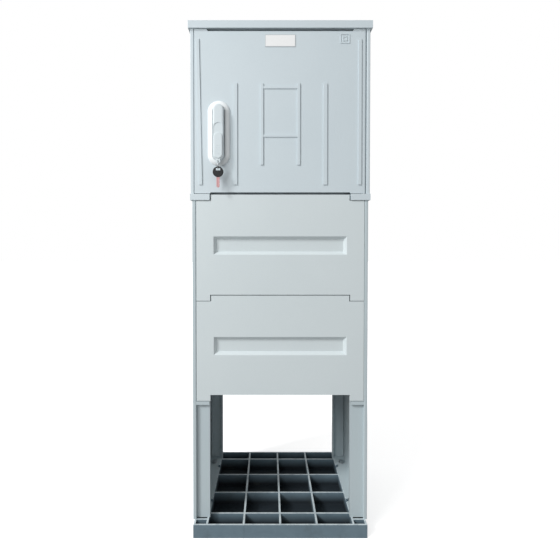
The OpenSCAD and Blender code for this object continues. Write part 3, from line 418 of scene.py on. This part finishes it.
def addLever(values):
    # grip with a cushioned face, the bed of the lock cover, the slot of the spindle's head and the ring's eye
    low, high = corners("lever")
    middle = (low.x + high.x) / 2
    front, back = low.y - 1, high.y + 1
    eye = low.z + values["eyeWidth"] / 2
    lever = roundEnded("leverForm", high.x - low.x, eye + values["gripStart"], high.z, middle, high.y,
                       [(0, values["side"])] + values["crown"])
    tab = roundEnded("eyeTab", values["eyeWidth"], low.z, low.z + values["eyeLength"], middle,
                     low.y + values["eyeInset"], values["eyeSteps"])
    combine(lever, tab, "UNION")
    combine(lever, rod(values["eyeHole"], (middle, front, eye), (middle, back, eye), "y", 28))

    pinLow, pinHigh = corners("lever_pin")
    pinY, pinZ = (pinLow.y + pinHigh.y) / 2, (pinLow.z + pinHigh.z) / 2
    combine(lever, block((middle - values["slotHalf"], low.y + values["slotFace"], pinZ - values["slotDown"]),
                         (middle + values["slotHalf"], back, pinZ + values["slotUp"])))
    combine(lever, rod(values["pinHole"], (low.x - 1, pinY, pinZ), (high.x + 1, pinY, pinZ), "x", 24))

    lidLow, lidHigh = corners("lock_cover")
    spare = values["bedSpare"]
    bed = roundEnded("bed", lidHigh.x - lidLow.x + 2 * spare, lidLow.z - spare,
                     lidHigh.z + values["bedTravel"] + spare, middle, low.y + values["bedFace"],
                     [(0, values["bedDepth"])])
    combine(lever, bed)
    bodyLow, bodyHigh = corners("lock_body")
    lockRadius = (bodyHigh.x - bodyLow.x) / 2 + values["lockSpare"]
    lockZ = (bodyLow.z + bodyHigh.z) / 2
    combine(lever, rod(lockRadius, (middle, front, lockZ), (middle, back, lockZ), "y", 40))
    soften(lever, values["edge"], 2, 40)
    finishPiece(lever, paleNylon, "lever", 45)


lidSet = {"side": 1.3, "crown": [(0.2, 0.6), (0.45, 0.45), (0.7, 0.25), (1.0, 0.1)], "grooves": 5,
          "grooveStart": 11, "groovePitch": 5, "grooveHalf": 5, "grooveRadius": 0.8, "grooveRaise": 0.25}


def addLid(values):
    # sliding cover of the lock, with a cushioned face and finger grooves
    low, high = corners("lock_cover")
    middle = (low.x + high.x) / 2
    lid = roundEnded("lockCoverForm", high.x - low.x, low.z, high.z, middle, high.y,
                     [(0, values["side"])] + values["crown"])
    y = low.y - values["grooveRaise"]
    for i in range(values["grooves"]):
        z = low.z + values["grooveStart"] + values["groovePitch"] * i
        combine(lid, rod(values["grooveRadius"], (middle - values["grooveHalf"], y, z),
                         (middle + values["grooveHalf"], y, z), "x", 16))
    finishPiece(lid, paleNylon, "lock_cover", 45)


ringSet = {"turns": 2, "wireShare": 0.96}


def addRing(values):
    # split key ring: turns of wire side by side, a hair thinner than their pitch so that they stay apart
    low, high = corners("key_ring")
    wire = (high.x - low.x) / 2 / values["turns"]
    deselectAll()
    bpy.ops.mesh.primitive_circle_add(vertices=14, radius=wire * values["wireShare"] * mm,
                                      fill_type="NOTHING",
                                      location=(-wire * mm, ((high.z - low.z) / 2 - wire) * mm, 0))
    ring = bpy.context.object
    ring.name = "keyRingForm"
    bpy.ops.object.transform_apply(location=True, rotation=True, scale=True)
    applyModifier(ring, "SCREW", axis="X", angle=math.radians(360), screw_offset=wire * mm,
                  iterations=values["turns"], steps=64, render_steps=64, use_smooth_shade=True)
    bpy.ops.object.mode_set(mode="EDIT")
    bpy.ops.mesh.select_all(action="SELECT")
    bpy.ops.mesh.fill_holes(sides=0)
    bpy.ops.mesh.select_all(action="SELECT")
    bpy.ops.mesh.normals_make_consistent(inside=False)
    bpy.ops.transform.translate(value=[(a + b) / 2 * mm for a, b in zip(low, high)])
    bpy.ops.object.mode_set(mode="OBJECT")
    finishPiece(ring, zinc, "key_ring", 60)


# the groove runs from grooveLeft to grooveRight of the blade's middle
keySet = {"grooveLeft": 1.2, "grooveRight": 0.4, "grooveDepth": 0.4, "grooveStart": 3, "bladeEdge": 0.15,
          "headEdge": 1.0}


def addKey(values):
    # key with a groove milled along both faces of its blade
    blade = mergedCopy("key_blade")
    low, high = corners("key_blade")
    middle = (low.x + high.x) / 2
    depth = values["grooveDepth"]
    for y in (low.y, high.y):
        combine(blade, block((middle - values["grooveLeft"], y - depth, low.z + values["grooveStart"]),
                             (middle + values["grooveRight"], y + depth, high.z + 1)))
    soften(blade, values["bladeEdge"])
    finishPiece(blade, keyMetal, "key_blade")
    head = mergedCopy("key_head")
    soften(head, values["headEdge"], 3, 50)
    finishPiece(head, blackPlastic, "key_head", 45)


labelSet = {"border": 1.4, "edge": 0.25}


def addLabel(values):
    # blank label with a plain border
    label = mergedCopy("label_plate")
    soften(label, values["edge"])
    label.data.materials.clear()
    for material in (labelBorder, labelFilm):
        label.data.materials.append(material)
    largest = max(face.area for face in label.data.polygons)
    for face in label.data.polygons:
        face.select = face.normal.y < -0.9 and face.area > largest / 2
    makeActive(label)
    bpy.ops.object.mode_set(mode="EDIT")
    bpy.ops.mesh.select_mode(type="FACE")
    bpy.ops.mesh.inset(thickness=values["border"] * mm, depth=0)
    label.active_material_index = 1
    bpy.ops.object.material_slot_assign()
    bpy.ops.object.mode_set(mode="OBJECT")
    finishPiece(label, None, "label_plate")


addDish(dishSet)
addLever(leverSet)
addLid(lidSet)
addRing(ringSet)
addKey(keySet)
addLabel(labelSet)
print("handle, key and label made")

# radius of the outer front edge of the cabinet's walls, in mm
frontEdge = {"cabinet_wall_left": 2.8, "cabinet_wall_right": 2.8}


def roundFrontEdge(piece, node, radius):
    # rounds the upright front edge on the outside of a side wall
    low, high = [corner * mm for corner in corners(node)]
    outer = low.x if low.x + high.x < 0 else high.x
    close = 0.1 * mm
    makeActive(piece)
    deselectMesh(piece)
    for edge in piece.data.edges:
        ends = [piece.data.vertices[i].co for i in edge.vertices]
        edge.select = all(abs(end.x - outer) < close and abs(end.y - low.y) < close for end in ends)
    bpy.ops.object.mode_set(mode="EDIT")
    bpy.ops.mesh.select_mode(type="EDGE")
    bpy.ops.mesh.bevel(offset=radius * mm, segments=4)
    bpy.ops.object.mode_set(mode="OBJECT")


# edge rounding of the pieces that keep their CAD shape, in mm
edgeOfNode = {"roof": 2.2, "door_panel": 1.5, "cabinet_back": 0.8, "collar_frame": 1.2, "lintel": 0.6,
              "sill": 0.6, "front_cover_upper": 0.6, "front_cover_lower": 0.6, "back_cover_upper": 0.6,
              "back_cover_lower": 0.6, "cabinet_wall_left": 0.5, "cabinet_wall_right": 0.5,
              "plinth_wall_left": 0.5, "plinth_wall_right": 0.5, "base_grid": 0.7, "door_gasket": 1.2,
              "latch_case": 0.4, "latch_pinion": 0.15, "rack_upper": 0.15, "rack_lower": 0.15}
smallEdge = 0.3
finishOfSlot = {"smc_grey": polyester, "grid_dark": gridPlastic, "zinc_steel": zinc, "rubber_black": rubber}
# the plinth walls take the darker copy of the polyester (painted shade), the covers the lighter one (painted
# light)
finishOfNode = {"mounting_plate": sheetZinc, "floor_plate_front": sheetZinc, "floor_plate_rear": sheetZinc,
                "clamp_rail": sheetZinc, "plinth_wall_left": plinthShadedPolyester,
                "plinth_wall_right": plinthShadedPolyester, "front_cover_upper": coverLitWarmPolyester,
                "front_cover_lower": coverLitWarmPolyester, "back_cover_upper": coverLitWarmPolyester,
                "back_cover_lower": coverLitWarmPolyester}
for name, source in frame["nodes"].items():
    if source.hide_render:
        continue
    piece = mergedCopy(name)
    if name in frontEdge:
        roundFrontEdge(piece, name, frontEdge[name])
    soften(piece, edgeOfNode.get(name, smallEdge))
    finishPiece(piece, finishOfNode.get(name) or finishOfSlot[slotOfNode[name]], name, 40)
print("other pieces made")


# places in metres; energy of the sun in W/m2 and of the key light in W
studioSet = {"floorSize": 30, "floorDrop": 0.0005, "floorSeen": "#fbfbfb", "floorBounce": "#a0a0a0",
             "floorGlow": 0.6, "sky": 0.44,
             "sun": 1.8, "sunAngle": 11, "sunPlace": (-3.0, -2.1, 3.2), "sunAim": (0, 0, 0.4),
             "key": 11, "keySize": 0.7, "keyPlace": (-1.0, -1.35, 1.35), "keyAim": (0, -0.17, 0.9)}


def addLamp(name, kind, place, aim, settings):
    light = bpy.data.lights.new(name, kind)
    for key, value in settings.items():
        setattr(light, key, value)
    lamp = bpy.data.objects.new(name, light)
    lamp.location = place
    lamp.rotation_euler = (Vector(aim) - Vector(place)).to_track_quat("-Z", "Y").to_euler()
    bpy.context.scene.collection.objects.link(lamp)


def addFloor(values):
    # looks white, but bounces little light, so that the forms keep their shade
    deselectAll()
    bpy.ops.mesh.primitive_plane_add(size=values["floorSize"], location=(0, 0, -values["floorDrop"]))
    floor = bpy.context.object
    floor.name = "studioFloor"
    material, tree = newMaterial("floorWhiteMatt")
    path = addNode(tree, "ShaderNodeLightPath")
    colour = addNode(tree, "ShaderNodeMix",
                     {"data_type": "RGBA", mixA: linear(values["floorBounce"]),
                      mixB: linear(values["floorSeen"])}, {0: (path, "Is Camera Ray")})
    glow = addNode(tree, "ShaderNodeMath", {"operation": "MULTIPLY", 1: values["floorGlow"]},
                   {0: (path, "Is Camera Ray")})
    shader = addNode(tree, "ShaderNodeBsdfPrincipled", {"Roughness": 0.8, "Emission Color": (1, 1, 1, 1)},
                     {"Base Color": (colour, mixOut), "Emission Strength": (glow, 0)})
    addNode(tree, "ShaderNodeOutputMaterial", {}, {"Surface": (shader, 0)})
    floor.data.materials.append(material)


def addSky(values):
    # white backdrop that lights the object only dimly
    world = bpy.data.worlds.new("studioWorld")
    bpy.context.scene.world = world
    world.use_nodes = True
    tree = world.node_tree
    tree.nodes.clear()
    path = addNode(tree, "ShaderNodeLightPath")
    strength = addNode(tree, "ShaderNodeMapRange", {"To Min": values["sky"], "To Max": 1.0},
                       {"Value": (path, "Is Camera Ray")})
    sky = addNode(tree, "ShaderNodeBackground", {"Color": (1, 1, 1, 1)}, {"Strength": (strength, 0)})
    addNode(tree, "ShaderNodeOutputWorld", {}, {"Surface": (sky, 0)})


addFloor(studioSet)
addSky(studioSet)
addLamp("sunLight", "SUN", studioSet["sunPlace"], studioSet["sunAim"],
        {"energy": studioSet["sun"], "angle": math.radians(studioSet["sunAngle"])})
addLamp("keyLight", "AREA", studioSet["keyPlace"], studioSet["keyAim"],
        {"energy": studioSet["key"], "size": studioSet["keySize"]})
bpy.context.scene.view_settings.view_transform = "Standard"
print("studio set")
